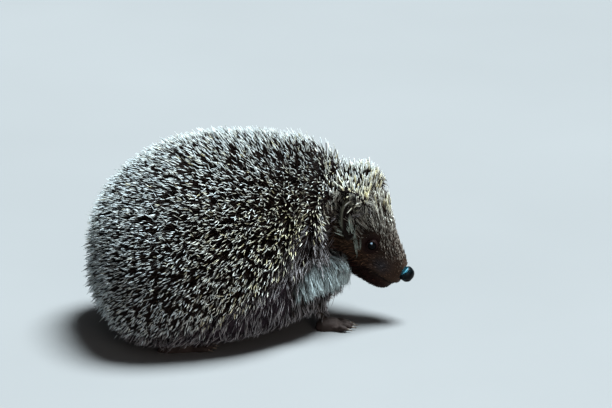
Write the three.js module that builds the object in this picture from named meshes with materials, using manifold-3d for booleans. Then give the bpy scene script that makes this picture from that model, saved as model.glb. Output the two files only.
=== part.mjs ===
// Northern white-breasted hedgehog standing with its head lowered. Millimetres, +Z up.
// +X runs from the rump to the shoulders and +Y is the animal's left.
// The solids reach out to the tips of the coat.
import * as THREE from "three";
import { ParametricGeometry } from "three/addons/geometries/ParametricGeometry.js";
import { mergeVertices } from "three/addons/utils/BufferGeometryUtils.js";
import Module from "manifold-3d";

const wasm = await Module();
wasm.setup();

// ---- driving dimensions ----

// clear space left between neighbouring solids
const GAP = 0.3;

// trunk: height of the back, height of the skirt, half width, where the widest station stands
const BACK_TOP = 126.5;
const SKIRT_FOOT = 2.4;
const TRUNK_HALF = 61.5;
const TRUNK_MIDDLE = -5;
// share of the height at which each section is widest
const WIDEST_LEVEL = 0.43;
// roundness of the sections above and below that level: 2 is an ellipse, more is squarer
const BACK_POWER = 2.05;
const FLANK_POWER = 4.1;
// each end: its length, the height of its pole, then squareness and fullness of three outlines
const REAR = { reach: 76, pole: 42, back: [1.75, 0.38], under: [9, 0.48], side: [3.3, 0.29] };
const FRONT = { reach: 95, pole: 59, back: [2.05, 0.2], under: [1.35, 0.2], side: [2, 0.84] };

// underside: how much it is set in below the mantle, and the hollow under the belly
const UNDER_INSET = 2.2;
const UNDER_POWER = 7;
const BREAST_POWER = 4.5;
const BREAST_SIDE = [1.55, 0.55];
const HOLLOW = { reach: 73, half: 51, rise: 10, power: 4 };

// lower edge of the spiny mantle: height at the rump, the flank and the shoulder
const EDGE_RUMP = 9;
const EDGE_FLANK = 16;
const EDGE_SHOULDER = 53;

// stations where the trunk divides
const RUMP_CUT = -32;
const SHOULDER_CUT = 24;
const HIND_CUT = -18;
const BREAST_CUT = 36;
const COLLAR = { at: [64, 0, 75], yaw: -14, pitch: 10 };

// head: where the skull begins, and how it is turned to its right and lowered
const HEAD_AT = new THREE.Vector3(76, 0, 74);
const HEAD_YAW = -32;
const HEAD_PITCH = 43;
// stations of the head along its own axis: height of the top, of the underside, half width,
// and the height where it is widest
const HEAD = [
  { at: -16, top: 10, under: -20, half: 18, level: -4 },
  { at: -4, top: 15.5, under: -26, half: 20, level: -5 },
  { at: 8, top: 19.5, under: -28.5, half: 20.5, level: -6 },
  { at: 19, top: 24, under: -27, half: 20.5, level: -6 },
  { at: 29.5, top: 20.8, under: -27, half: 18.5, level: -6 },
  { at: 37.5, top: 15.8, under: -25.6, half: 15, level: -6 },
  { at: 45, top: 11.4, under: -23.6, half: 12.2, level: -5.5 },
  { at: 53, top: 7.6, under: -22, half: 10.4, level: -5.3 },
  { at: 64, top: 4.3, under: -17.5, half: 8, level: -4.5 },
];
const HEAD_POWER = 2.15;
const SNOUT_CUT = 44;
// mouth line: its height under the nose, where its corner is, and how it drops to the corner
const MOUTH = { front: 63, frontHeight: -8.8, corner: 39, cornerHeight: -12.4 };
const JAW = [
  { at: 30, top: -9, under: -28, half: 14, level: -16 },
  { at: 38, top: -8, under: -26.4, half: 12.4, level: -15 },
  { at: 46, top: -7, under: -24.8, half: 11.2, level: -14.5 },
  { at: 61.5, top: -6, under: -20.5, half: 7.8, level: -13 },
];

// spiny cap on the crown
const CROWN = { at: [4.5, 0, 12], reach: [17.2, 24.5, 22], power: 2.5 };
// the edge of the mantle round the face: above the ear, behind it, behind the cheek, at the throat
const FACE_EDGE = [
  [-6, 18],
  [-1.5, 8],
  [5, 0],
  [15, -6],
  [23, -13],
  [26, -24],
  [27, -44],
];
// the fur of the breast starts below this height of the head, ahead of this station
const BREAST_TOP = { at: 15, height: -13 };

const NOSE = { at: [62.7, 0, -0.2], reach: [5.2, 5.2, 4.9] };
const EYE = { at: [34, 13.8, 3.1], radius: 3.2 };
const EAR = { at: [12.4, 21.4, 7], tall: 13.4, wide: 5.3, deep: 3.6, wall: 1.1 };
const EAR_LEAN = -46;
const EAR_TURN = 36;

const TAIL = { from: [-56, 0, 14], to: [-71, 0, 5], thick: 3.4, tip: 1.2 };

// legs: shoulder or hip end, ankle end, and the thickness at both
const FORELEG = { from: [53, 23, 27], to: [60, 25.5, 7.4], thick: 9, ankle: 5.8 };
const HINDLEG = { from: [-32, 35, 22], to: [-44, 36.5, 6.8], thick: 11, ankle: 5.6 };
// paws: where the heel stands, turn outward, then length, width and height
const FOREPAW = { heel: [55, 25.5], turn: 9, long: 19, wide: 12, tall: 7.6, toe: 5.2 };
const HINDPAW = { heel: [-50, 36.5], turn: 7, long: 33, wide: 11.5, tall: 6.8, toe: 5 };
const TOES = 5;
const CLAW_LONG = 5.2;
const CLAW_THICK = 1.05;

// ---- helpers ----

const turn = (degrees) => THREE.MathUtils.degToRad(degrees);
const vec = (list) => new THREE.Vector3(...list);

// A solid body from a closed geometry; pinched triangles at its poles are left out.
function solid(geometry) {
  const bare = new THREE.BufferGeometry();
  bare.setAttribute("position", geometry.getAttribute("position"));
  if (geometry.index) bare.setIndex(geometry.index);
  const merged = mergeVertices(bare, 1e-4);
  const index = merged.index.array;
  const faces = [];
  for (let i = 0; i < index.length; i += 3) {
    const [a, b, c] = [index[i], index[i + 1], index[i + 2]];
    if (a !== b && b !== c && c !== a) faces.push([a, b, c]);
  }
  const build = (list) =>
    new wasm.Manifold(
      new wasm.Mesh({
        numProp: 3,
        vertProperties: new Float32Array(merged.attributes.position.array),
        triVerts: new Uint32Array(list.flat()),
      }),
    );
  const made = build(faces);
  if (made.volume() > 0) return made;
  return build(faces.map(([a, b, c]) => [a, c, b]));
}

// A closed surface through rings: place(along, angle) gives each point, along going 0 to 1.
function sweep(place, around, stations, matrix = new THREE.Matrix4()) {
  const surface = new ParametricGeometry(
    (u, v, target) => target.copy(place(v, (u % 1) * 2 * Math.PI)),
    around,
    stations,
  );
  return solid(surface.applyMatrix4(matrix));
}

// Distance from the centre to the edge of a rounded square of unit half width.
function rim(angle, power) {
  const c = Math.abs(Math.cos(angle)) ** power;
  const s = Math.abs(Math.sin(angle)) ** power;
  return (c + s) ** (-1 / power);
}

// 1 at the middle of an outline, 0 at its end.
function swell(s, [squareness, fullness]) {
  return Math.max(1 - Math.abs(s) ** squareness, 0) ** fullness;
}

// A smooth line through one measure of a list of stations.
function through(stations, key) {
  const last = stations.length - 1;
  const slope = stations.map((here, i) => {
    const before = stations[Math.max(i - 1, 0)];
    const after = stations[Math.min(i + 1, last)];
    return (after[key] - before[key]) / (after.at - before.at);
  });
  return (x) => {
    let i = 0;
    while (i < last - 1 && x > stations[i + 1].at) i += 1;
    const span = stations[i + 1].at - stations[i].at;
    const t = THREE.MathUtils.clamp((x - stations[i].at) / span, 0, 1);
    const rise = t * t * (3 - 2 * t);
    const start = t * (1 - t) * (1 - t) * span * slope[i];
    const end = t * t * (1 - t) * span * slope[i + 1];
    return stations[i][key] * (1 - rise) + stations[i + 1][key] * rise + start - end;
  };
}

// A body through stations along X with rounded ends, grown by a clearance.
function stationBody(stations, power, nose, tail, around, steps, grow, matrix) {
  const first = stations[0].at - grow;
  const end = stations[stations.length - 1].at + grow;
  const top = through(stations, "top");
  const under = through(stations, "under");
  const half = through(stations, "half");
  const level = through(stations, "level");
  return sweep(
    (v, angle) => {
      const x = (first + end) / 2 - ((end - first) / 2) * Math.cos(Math.PI * v);
      const tailEnd = THREE.MathUtils.clamp((x - first) / tail, 0, 1);
      const noseEnd = THREE.MathUtils.clamp((end - x) / nose, 0, 1);
      const round = Math.sqrt(tailEnd * (2 - tailEnd)) * Math.sqrt(noseEnd * (2 - noseEnd));
      const reach = rim(angle, power) * round;
      const tall = Math.sin(angle) > 0 ? top(x) - level(x) : level(x) - under(x);
      const y = Math.cos(angle) * reach * (half(x) + grow);
      const z = level(x) + Math.sin(angle) * reach * (tall + grow);
      return new THREE.Vector3(x, y, z);
    },
    around,
    steps,
    matrix,
  );
}

// An oval body with a chosen squareness.
function oval(at, reach, power, around, steps, grow = 0, matrix = new THREE.Matrix4()) {
  return sweep(
    (v, angle) => {
      const slope = Math.PI * (v - 0.5);
      const size = rim(slope, power);
      const ring = Math.cos(slope) * size * rim(angle, power);
      return new THREE.Vector3(
        at[0] + (reach[0] + grow) * Math.sin(slope) * size,
        at[1] + (reach[1] + grow) * Math.cos(angle) * ring,
        at[2] + (reach[2] + grow) * Math.sin(angle) * ring,
      );
    },
    around,
    steps,
    matrix,
  );
}

// A round limb between two points, thick at its start and thin at its end.
function limb({ from, to, thick, thin }, around, steps, grow = 0) {
  const start = vec(from);
  const axis = vec(to).sub(start);
  const long = axis.length();
  const along = axis.clone().normalize();
  const side = new THREE.Vector3(0, 1, 0).cross(along).normalize();
  const other = along.clone().cross(side);
  return sweep(
    (v, angle) => {
      const t = 0.5 - 0.5 * Math.cos(Math.PI * v);
      const size = (thick + (thin - thick) * t + grow) * Math.sin(Math.PI * v) ** 0.5;
      return start
        .clone()
        .addScaledVector(along, t * (long + 2 * grow) - grow)
        .addScaledVector(side, Math.cos(angle) * size)
        .addScaledVector(other, Math.sin(angle) * size);
    },
    around,
    steps,
  );
}

// A box between two corners, turned by a matrix.
function block(low, high, matrix = new THREE.Matrix4()) {
  const box = new THREE.BoxGeometry(high[0] - low[0], high[1] - low[1], high[2] - low[2]);
  box.translate((low[0] + high[0]) / 2, (low[1] + high[1]) / 2, (low[2] + high[2]) / 2);
  return solid(box.applyMatrix4(matrix));
}

// A prism across the body with its outline drawn in X and Z.
function prism(outline, half, matrix = new THREE.Matrix4()) {
  const shape = new THREE.Shape(outline.map(([x, z]) => new THREE.Vector2(x, z)));
  const body = new THREE.ExtrudeGeometry(shape, { depth: 2 * half, bevelEnabled: false });
  body.rotateX(Math.PI / 2);
  body.translate(0, half, 0);
  return solid(body.applyMatrix4(matrix));
}

// ---- trunk ----

function trunk(inset, lowPower, frontSide, around, steps) {
  return sweep(
    (v, angle) => {
      const s = Math.sin(Math.PI * (v - 0.5));
      const end = s < 0 ? REAR : FRONT;
      const x = TRUNK_MIDDLE + (end.reach - inset) * s;
      const top = end.pole + (BACK_TOP - end.pole) * swell(s, end.back);
      const under = end.pole - (end.pole - SKIRT_FOOT) * swell(s, end.under);
      const half = (TRUNK_HALF - inset) * swell(s, s < 0 ? REAR.side : frontSide);
      const level = under + (top - under) * WIDEST_LEVEL;
      const upper = Math.sin(angle) > 0;
      const reach = rim(angle, upper ? BACK_POWER : lowPower(s));
      const tall = upper ? top - level : level - under;
      return new THREE.Vector3(
        x,
        Math.cos(angle) * reach * half,
        level + Math.sin(angle) * reach * tall,
      );
    },
    around,
    steps,
  );
}

// Everything above the lower edge of the mantle, raised by an amount.
function aboveEdge(raise) {
  const edge = new THREE.SplineCurve([
    new THREE.Vector2(-95, EDGE_RUMP + 4 + raise),
    new THREE.Vector2(-60, EDGE_RUMP + raise),
    new THREE.Vector2(-26, EDGE_FLANK + raise),
    new THREE.Vector2(28, (EDGE_FLANK + EDGE_SHOULDER) / 2 + 3 + raise),
    new THREE.Vector2(60, EDGE_SHOULDER + raise),
    new THREE.Vector2(110, EDGE_SHOULDER + 12 + raise),
  ]);
  const points = edge.getPoints(18).map((p) => [p.x, p.y]);
  return prism([...points, [110, 200], [-95, 200]], 80);
}

const headMatrix = new THREE.Matrix4().compose(
  HEAD_AT,
  new THREE.Quaternion().setFromEuler(new THREE.Euler(0, turn(HEAD_PITCH), turn(HEAD_YAW), "ZYX")),
  new THREE.Vector3(1, 1, 1),
);
const collarMatrix = new THREE.Matrix4().compose(
  vec(COLLAR.at),
  new THREE.Quaternion().setFromEuler(
    new THREE.Euler(0, turn(COLLAR.pitch), turn(COLLAR.yaw), "ZYX"),
  ),
  new THREE.Vector3(1, 1, 1),
);

const FAR = 150;
const slab = (from, to) => block([from, -FAR, -FAR], [to, FAR, FAR]);
const aheadOfCollar = (start) => block([start, -FAR, -FAR], [FAR, FAR, FAR], collarMatrix);

// ---- head ----

const headHull = (grow) => stationBody(HEAD, HEAD_POWER, 7, 12, 24, 15, grow, headMatrix);
const jawHull = stationBody(JAW, 2.2, 5, 6, 13, 7, 0, headMatrix);
const crownHull = (grow) =>
  oval(CROWN.at, CROWN.reach, CROWN.power, 16, 9, grow, headMatrix);

// The region of the lower jaw below the mouth line, widened by a clearance.
function jawRegion(grow) {
  return prism(
    [
      [MOUTH.front + 8, MOUTH.frontHeight + grow],
      [MOUTH.corner - grow, MOUTH.cornerHeight + grow],
      [MOUTH.corner - 7 - grow, -40],
      [MOUTH.front + 8, -40],
    ],
    40,
    headMatrix,
  );
}

const faceEdge = new THREE.SplineCurve(FACE_EDGE.map(([x, z]) => new THREE.Vector2(x, z)));
const faceOpening = prism(
  [...faceEdge.getPoints(16).map((p) => [p.x, p.y]), [FAR, -44], [FAR, 18]],
  FAR,
  headMatrix,
);
const throatOpening = block(
  [BREAST_TOP.at, -FAR, BREAST_TOP.height],
  [FAR, FAR, FAR],
  headMatrix,
);

const noseBody = (grow) => oval(NOSE.at, NOSE.reach, 2.1, 12, 8, grow, headMatrix);

const eyes = [-1, 1].map((side) => {
  const at = [EYE.at[0], EYE.at[1] * side, EYE.at[2]];
  const make = (grow) => {
    const reach = [EYE.radius, EYE.radius, EYE.radius];
    return oval(at, reach, 2, 12, 8, grow, headMatrix);
  };
  return { ball: make(0), socket: make(GAP) };
});

const headSolid = headHull(0);
const headGrown = headHull(GAP);
const skull = block([-FAR, -FAR, -FAR], [SNOUT_CUT - GAP / 2, FAR, FAR], headMatrix);
const front = block([SNOUT_CUT + GAP / 2, -FAR, -FAR], [FAR, FAR, FAR], headMatrix);
const jawCut = jawRegion(GAP);

const head = headSolid
  .intersect(skull)
  .subtract(jawCut)
  .subtract(eyes[0].socket)
  .subtract(eyes[1].socket);
const snout = headSolid.intersect(front).subtract(jawCut).subtract(noseBody(GAP));
const lowerJaw = jawHull.intersect(jawRegion(0)).intersect(headSolid);

// An ear: a thin cup that leans back along the head and opens forward and outward.
function ear(side) {
  const lean = new THREE.Matrix4().makeRotationY(turn(EAR_LEAN));
  const face = new THREE.Matrix4().makeRotationZ(turn(-EAR_TURN * side));
  const place = headMatrix
    .clone()
    .multiply(new THREE.Matrix4().makeTranslation(EAR.at[0], EAR.at[1] * side, EAR.at[2]))
    .multiply(lean)
    .multiply(face);
  const outer = [EAR.wide, EAR.deep, EAR.tall];
  const shell = oval([0, 0, 0], outer, 2.1, 12, 8, 0, place);
  const room = oval([0, 0, 0], outer, 2.1, 12, 8, GAP, place);
  const open = EAR.deep * 0.72 * side;
  const inner = [EAR.wide - EAR.wall, EAR.deep, EAR.tall - EAR.wall];
  const bowl = oval([0, open, 0], inner, 2.1, 12, 8, 0, place);
  const front = oval(
    [0, (EAR.deep + 4.2) * side, 0],
    [EAR.wide + 6, 5.6, EAR.tall + 6],
    2,
    10,
    6,
    0,
    place,
  );
  return { cup: shell.subtract(bowl).subtract(front).subtract(headGrown), room };
}
const ears = [ear(-1), ear(1)];
const crown = crownHull(0)
  .subtract(headGrown)
  .subtract(ears[0].room)
  .subtract(ears[1].room)
  .intersect(block([-FAR, -FAR, 6], [FAR, FAR, FAR], headMatrix));

// ---- legs and paws ----

const mirrored = (list, side) => [list[0], list[1] * side, ...list.slice(2)];

function legBody(leg, side, grow) {
  return limb(
    { from: mirrored(leg.from, side), to: mirrored(leg.to, side), thick: leg.thick, thin: leg.ankle },
    10,
    6,
    grow,
  );
}

function pawMatrix(paw, side) {
  return new THREE.Matrix4()
    .makeTranslation(paw.heel[0], paw.heel[1] * side, 0)
    .multiply(new THREE.Matrix4().makeRotationZ(turn(paw.turn * side)));
}

// Where each toe starts, and the way it points, in the frame of its paw.
function toeSpots(paw) {
  return Array.from({ length: TOES }, (_, i) => {
    const spread = (i - (TOES - 1) / 2) / ((TOES - 1) / 2);
    const back = Math.abs(spread) ** 1.6 * paw.toe * 0.75;
    return {
      x: paw.long * 0.86 - back,
      y: spread * paw.wide * 0.44,
      angle: spread * 20,
    };
  });
}

function pawBody(paw, side) {
  const matrix = pawMatrix(paw, side);
  const pads = [paw.long * 0.47, paw.wide * 0.5, paw.tall];
  let body = oval([paw.long * 0.47, 0, 0], pads, 2.5, 10, 6, 0, matrix);
  for (const spot of toeSpots(paw)) {
    const toe = matrix
      .clone()
      .multiply(new THREE.Matrix4().makeTranslation(spot.x, spot.y * side, 1.7))
      .multiply(new THREE.Matrix4().makeRotationZ(turn(spot.angle * side)));
    body = body.add(oval([1, 0, 0], [paw.toe, paw.wide * 0.13, 2.2], 2.2, 5, 4, 0, toe));
  }
  return body.intersect(block([-FAR, -FAR, 0], [FAR, FAR, FAR]));
}

function clawBody(paw, side, spot) {
  const matrix = pawMatrix(paw, side)
    .multiply(new THREE.Matrix4().makeTranslation(spot.x, spot.y * side, 2.3))
    .multiply(new THREE.Matrix4().makeRotationZ(turn(spot.angle * side)));
  const start = paw.toe + 1.3;
  return sweep(
    (v, angle) => {
      const size = CLAW_THICK * (1 - 0.86 * v) * (v > 0 && v < 1 ? 1 : 0);
      const drop = -1.5 * v * v;
      return new THREE.Vector3(
        start + CLAW_LONG * v,
        Math.cos(angle) * size * 0.8,
        drop + Math.sin(angle) * size,
      );
    },
    5,
    4,
    matrix,
  );
}

const LEGS = [
  { name: "front_right", leg: FORELEG, paw: FOREPAW, side: -1 },
  { name: "front_left", leg: FORELEG, paw: FOREPAW, side: 1 },
  { name: "hind_right", leg: HINDLEG, paw: HINDPAW, side: -1 },
  { name: "hind_left", leg: HINDLEG, paw: HINDPAW, side: 1 },
];
for (const limbs of LEGS) {
  limbs.upper = legBody(limbs.leg, limbs.side, 0);
  limbs.room = legBody(limbs.leg, limbs.side, GAP);
  limbs.foot = pawBody(limbs.paw, limbs.side).subtract(limbs.room);
}

const tail = limb({ ...TAIL, thin: TAIL.tip }, 9, 7);
const tailRoom = limb({ ...TAIL, thin: TAIL.tip }, 9, 7, GAP);

// ---- mantle and underside ----

let spiny = trunk(0, () => FLANK_POWER, FRONT.side, 32, 18)
  .intersect(aboveEdge(GAP))
  .subtract(faceOpening)
  .subtract(headGrown)
  .subtract(crownHull(GAP))
  .subtract(ears[0].room)
  .subtract(ears[1].room)
  .subtract(tailRoom);
const softPower = (s) => (s < 0 ? UNDER_POWER : UNDER_POWER + (BREAST_POWER - UNDER_POWER) * s);
let soft = trunk(UNDER_INSET, softPower, BREAST_SIDE, 26, 16)
  .subtract(aboveEdge(0))
  .subtract(oval([0, 0, 0], [HOLLOW.reach, HOLLOW.half, HOLLOW.rise], HOLLOW.power, 12, 8))
  .subtract(throatOpening)
  .subtract(headGrown)
  .subtract(tailRoom);
for (const limbs of LEGS) {
  spiny = spiny.subtract(limbs.room);
  soft = soft.subtract(limbs.room);
}

const behindCollar = spiny.subtract(aheadOfCollar(-GAP / 2));
const half = GAP / 2;

// ---- assembly ----

const skin = (colour) => new THREE.MeshStandardMaterial({ color: colour, roughness: 0.9 });
const spineCoat = skin(0x8f8a7c);
const darkFur = skin(0x4a3f35);
const paleFur = skin(0xcfcac0);
const bareSkin = skin(0x5b5148);
const noseSkin = new THREE.MeshStandardMaterial({ color: 0x15161a, roughness: 0.3 });
const eyeGlass = new THREE.MeshStandardMaterial({ color: 0x050505, roughness: 0.1 });
const horn = new THREE.MeshStandardMaterial({ color: 0xb8a58c, roughness: 0.5 });
spineCoat.name = "spines";
darkFur.name = "dark_fur";
paleFur.name = "pale_fur";
bareSkin.name = "bare_skin";
noseSkin.name = "nose_skin";
eyeGlass.name = "eye";
horn.name = "claw_horn";

const group = new THREE.Group();
group.name = "hedgehog";
const trunkGroup = new THREE.Group();
trunkGroup.name = "trunk";
const headGroup = new THREE.Group();
headGroup.name = "head_group";
headGroup.position.copy(HEAD_AT);
headGroup.rotation.set(0, turn(HEAD_PITCH), turn(HEAD_YAW), "ZYX");
group.add(trunkGroup, headGroup);

// Hang a solid, given in the frame of the whole animal, in one of its groups.
function hang(parent, name, body, material) {
  group.updateMatrixWorld(true);
  const mesh = body.getMesh();
  const geometry = new THREE.BufferGeometry();
  geometry.setAttribute("position", new THREE.BufferAttribute(new Float32Array(mesh.vertProperties), 3));
  geometry.setIndex(Array.from(mesh.triVerts));
  geometry.applyMatrix4(parent.matrixWorld.clone().invert());
  geometry.computeVertexNormals();
  const node = new THREE.Mesh(geometry, material);
  node.name = name;
  parent.add(node);
}

hang(trunkGroup, "mantle_rump", spiny.intersect(slab(-FAR, RUMP_CUT - half)), spineCoat);
hang(
  trunkGroup,
  "mantle_back",
  spiny.intersect(slab(RUMP_CUT + half, SHOULDER_CUT - half)),
  spineCoat,
);
hang(
  trunkGroup,
  "mantle_shoulders",
  behindCollar.intersect(slab(SHOULDER_CUT + half, FAR)),
  spineCoat,
);
hang(trunkGroup, "neck", spiny.intersect(aheadOfCollar(half)), spineCoat);
hang(trunkGroup, "hindquarters", soft.intersect(slab(-FAR, HIND_CUT - half)), darkFur);
hang(trunkGroup, "belly", soft.intersect(slab(HIND_CUT + half, BREAST_CUT - half)), darkFur);
hang(trunkGroup, "breast", soft.intersect(slab(BREAST_CUT + half, FAR)), paleFur);
hang(trunkGroup, "tail", tail, darkFur);

hang(headGroup, "crown", crown, spineCoat);
hang(headGroup, "head", head, darkFur);
hang(headGroup, "snout", snout, darkFur);
hang(headGroup, "lower_jaw", lowerJaw, darkFur);
hang(headGroup, "nose", noseBody(0), noseSkin);
hang(headGroup, "ear_right", ears[0].cup, bareSkin);
hang(headGroup, "ear_left", ears[1].cup, bareSkin);
hang(headGroup, "eye_right", eyes[0].ball, eyeGlass);
hang(headGroup, "eye_left", eyes[1].ball, eyeGlass);

for (const limbs of LEGS) {
  const legGroup = new THREE.Group();
  legGroup.name = "leg_group_" + limbs.name;
  legGroup.position.set(limbs.paw.heel[0], limbs.paw.heel[1] * limbs.side, 0);
  legGroup.rotation.z = turn(limbs.paw.turn * limbs.side);
  group.add(legGroup);
  hang(legGroup, "leg_" + limbs.name, limbs.upper, darkFur);
  hang(legGroup, "foot_" + limbs.name, limbs.foot, bareSkin);
  toeSpots(limbs.paw).forEach((spot, i) => {
    const claw = clawBody(limbs.paw, limbs.side, spot).subtract(limbs.foot);
    hang(legGroup, "claw_" + limbs.name + "_" + (i + 1), claw, horn);
  });
}

// The floor is at height 0 and the middle of the whole outline at X 0, Y 0.
group.updateMatrixWorld(true);
const extent = new THREE.Box3().setFromObject(group, true);
group.position.set(-(extent.min.x + extent.max.x) / 2, -(extent.min.y + extent.max.y) / 2, 0);

export default group;
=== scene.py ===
"""A life-size northern white-breasted hedgehog, built over the CAD frame.

One skin, solid spines and hairs, lids, a nose, eyes and claws. Lengths are in millimetres
and angles in degrees, unless a comment says otherwise.
"""

import math

import bmesh
import bpy
import numpy as np
from mathutils import Matrix, Vector
from mathutils.bvhtree import BVHTree
from mathutils.kdtree import KDTree


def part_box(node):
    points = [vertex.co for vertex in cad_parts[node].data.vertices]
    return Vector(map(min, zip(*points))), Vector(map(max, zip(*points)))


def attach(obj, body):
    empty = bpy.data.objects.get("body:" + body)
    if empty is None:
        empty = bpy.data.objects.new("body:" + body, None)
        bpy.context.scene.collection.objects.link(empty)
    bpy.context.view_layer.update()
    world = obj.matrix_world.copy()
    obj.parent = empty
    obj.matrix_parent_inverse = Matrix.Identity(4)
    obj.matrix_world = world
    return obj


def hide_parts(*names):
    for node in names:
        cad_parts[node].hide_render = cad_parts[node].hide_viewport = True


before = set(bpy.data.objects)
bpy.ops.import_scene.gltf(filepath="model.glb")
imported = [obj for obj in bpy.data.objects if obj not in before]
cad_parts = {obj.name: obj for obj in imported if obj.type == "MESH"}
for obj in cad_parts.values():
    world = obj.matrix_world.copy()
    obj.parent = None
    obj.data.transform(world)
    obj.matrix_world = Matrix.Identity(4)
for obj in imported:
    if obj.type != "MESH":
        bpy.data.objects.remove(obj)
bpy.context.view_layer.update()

MM = 0.001
SIDES = ("right", "left")

# ---- driving dimensions

# the view: its azimuth and elevation, the width it covers, its lens, sensor and middle
VIEW_AZIMUTH = -15.0
VIEW_ELEVATION = 20.0
VIEW_WIDTH = 385.6
VIEW_LENS = 300.0
VIEW_SENSOR = 36.0
VIEW_CENTRE = (39.5, 10.7, 70.5)
# how far the camera sees, in metres, and half the floor's side
VIEW_END = 200.0
FLOOR_HALF = 60000.0

# the head: turned to its right by the yaw, nose down by the pitch
HEAD_YAW = -32.0
HEAD_PITCH = 43.0
# in the head's own directions: how far the eyes are ahead and up, and the mouth's two ends
EYE_AHEAD = 34.0
EYE_UP = 3.1
MOUTH_FRONT = (63.0, -8.8)
MOUTH_CORNER = (39.0, -12.4)
# how high the lips stand and how deep the line between them is
LIP = 0.25
GROOVE = 0.85
# the opening between the lids, as angles at the eye's middle: sideways, upward, downward
EYE_OPENING = (60.0, 54.0, 50.0)
# the lids row by row: angle outward from the opening's edge, and height above the eyeball
LID_ROWS = (
    (14, -0.15), (2, 0.04), (0, 0.20), (1.5, 0.40), (5, 0.52), (9, 0.50), (13, 0.34),
    (17, 0.46), (23, 0.72), (32, 0.80), (42, 0.55), (52, 0.0), (50, -0.9), (30, -1.0),
)
LID_TURNS = 56
# the muzzle's radius where it takes the nose, and the nose pad's points round and along
COLLAR = 5.3
NOSE_POINTS = (84, 60)
# a nostril's hole, the curl round it and its slit: (aim, rise, angle from the aim, width)
NOSTRIL = (
    ((0.66, 0.60, -0.30), -0.40, 0, 11.5),
    ((0.66, 0.60, -0.30), 0.06, 22, 8),
    ((0.30, 0.90, -0.22), -0.20, 0, 9.0),
)

# how far the skin lies inside each kind of solid, and at most beside an eye and at the nose
COAT_DEPTH = {
    "mantle": 12.5, "neck": 9.0, "crown": 9.0, "head": 1.6, "snout": 0.5, "lower_jaw": 0.3,
    "breast": 4.5, "belly": 3.0, "hindquarters": 3.0, "tail": 0.9, "leg": 1.6, "foot": 0.6,
}
EYE_COAT = 0.9
NOSE_COAT = 0.4
# how fine the meshes are, and how far the solids swell to close the cuts between them
UNION_VOXEL = 1.1
SKIN_VOXEL = 1.22
EAR_VOXEL = 0.5
PAW_VOXEL = 0.53
CLOSE_CUTS = 0.35
# the flesh that holds a claw: its half length, width and height, and how far back it stands
TOE_END = (3.5, 1.75, 1.85)
TOE_BACK = 1.7
TOE_DROP = 0.3

# the spines: spacing, width, the length that the bands are laid out for, sides, and rings as
# (place along, share of the width)
SPINE_SPACING = 1.32
SPINE_WIDE = 0.54
SPINE_WHOLE = 20.0
SPINE_SIDES = 5
SPINE_PROFILE = ((0.0, 0.5), (0.3, 1.0), (0.70, 1.0), (0.86, 0.82), (0.95, 0.46))
# where the lowest spines end along the body, as (x, z): below them hangs a fringe of hair
SPINE_EDGE = ((-90.0, 15.0), (-65.0, 19.0), (-38.0, 22.0), (-11.0, 34.0), (25.0, 61.0), (37.0, 68.0))
# how far forward on the head the forehead's spines are rooted
FOREHEAD_SPINES = 31.0
# how far the tips stand outside the solids, and how uneven they are
SPINE_OVER = 0.9
SPINE_UNEVEN = 2.1
# how far the tips are looked for, and the station behind which the rump's spines begin
SPINE_REACH = 24.0
RUMP_SPINES = -45.0

# the rings of a hair, and its sides
SHORT_HAIR = ((0.0, 0.9), (0.5, 1.0))
LONG_HAIR = ((0.0, 0.8), (0.3, 1.0), (0.6, 0.9), (0.85, 0.6))
FINE_HAIR = ((0.0, 0.8), (0.35, 1.0), (0.8, 0.65))
BELLY_HAIR = ((0.0, 0.85), (0.35, 1.0), (0.7, 0.75))
HAIR_SIDES = 3
# how far the hairs of a lock are drawn together at its tip
PULL = 0.6

# the roots of the white breast: lowest, highest, how far back they run, and the line's slope
WHITE_FOOT = 34.0
WHITE_TOP = 48.0
WHITE_BACK = 22.0
WHITE_SLOPE = 0.72
# how much further back the white reaches than its long hair
WHITE_SPREAD = 4.0

# the middle of the body's unwrap, and the size of one strand's patch on it
BODY_CENTRE = np.array([-20.0, 0.0, 55.0])
PATCH = 0.003

# ---- colours of the skin and of the coat's roots, some of them painted shade

DARK_BROWN = (0.042, 0.029, 0.022)
CHEEK_BROWN = (0.074, 0.040, 0.024)
REAR_CHEEK = (0.075, 0.050, 0.032)
# under the face: partly the jaw's own dark fur, partly painted shade beneath the lowered head
JAW_BROWN_AND_SHADE = (0.026, 0.010, 0.008)
EYE_BROWN = (0.024, 0.009, 0.008)
FOREHEAD = (0.044, 0.026, 0.018)
MUZZLE_GREY = (0.055, 0.050, 0.055)
FRINGE_BROWN = (0.048, 0.032, 0.042)
BELLY_BROWN = (0.060, 0.048, 0.042)
BREAST_WHITE = (0.80, 0.94, 0.94)
# the top of the breast under the jaw: partly its own brown, partly painted shade beneath the head
THROAT_BROWN_AND_SHADE = (0.030, 0.015, 0.013)
# the skin between the spines: its own dark colour, made near black as painted shade that the spines
# cast
UNDER_SPINES_AND_SHADE = (0.016, 0.008, 0.007)
LEG_BROWN = (0.055, 0.042, 0.034)
FOOT_SKIN = (0.085, 0.062, 0.055)
EAR_OLIVE = (0.26, 0.26, 0.20)
# inside an ear: partly its own dark skin, made near black as painted shade in its hollow
EAR_INSIDE_AND_SHADE = (0.016, 0.010, 0.008)
# the line between the lips: partly the lips' own dark skin, partly painted shade in the groove
MOUTH_DARK_AND_SHADE = (0.010, 0.006, 0.006)
# pale hairs of the face, the nose's bridge and the body, and the brush before the ears
PALE_HAIR = (0.84, 0.80, 0.69)
BRIDGE_HAIR = (0.34, 0.29, 0.24)
SKIRT_HAIR = (0.74, 0.69, 0.70)
TUFT_GREY = (0.86, 0.98, 0.86)
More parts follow.
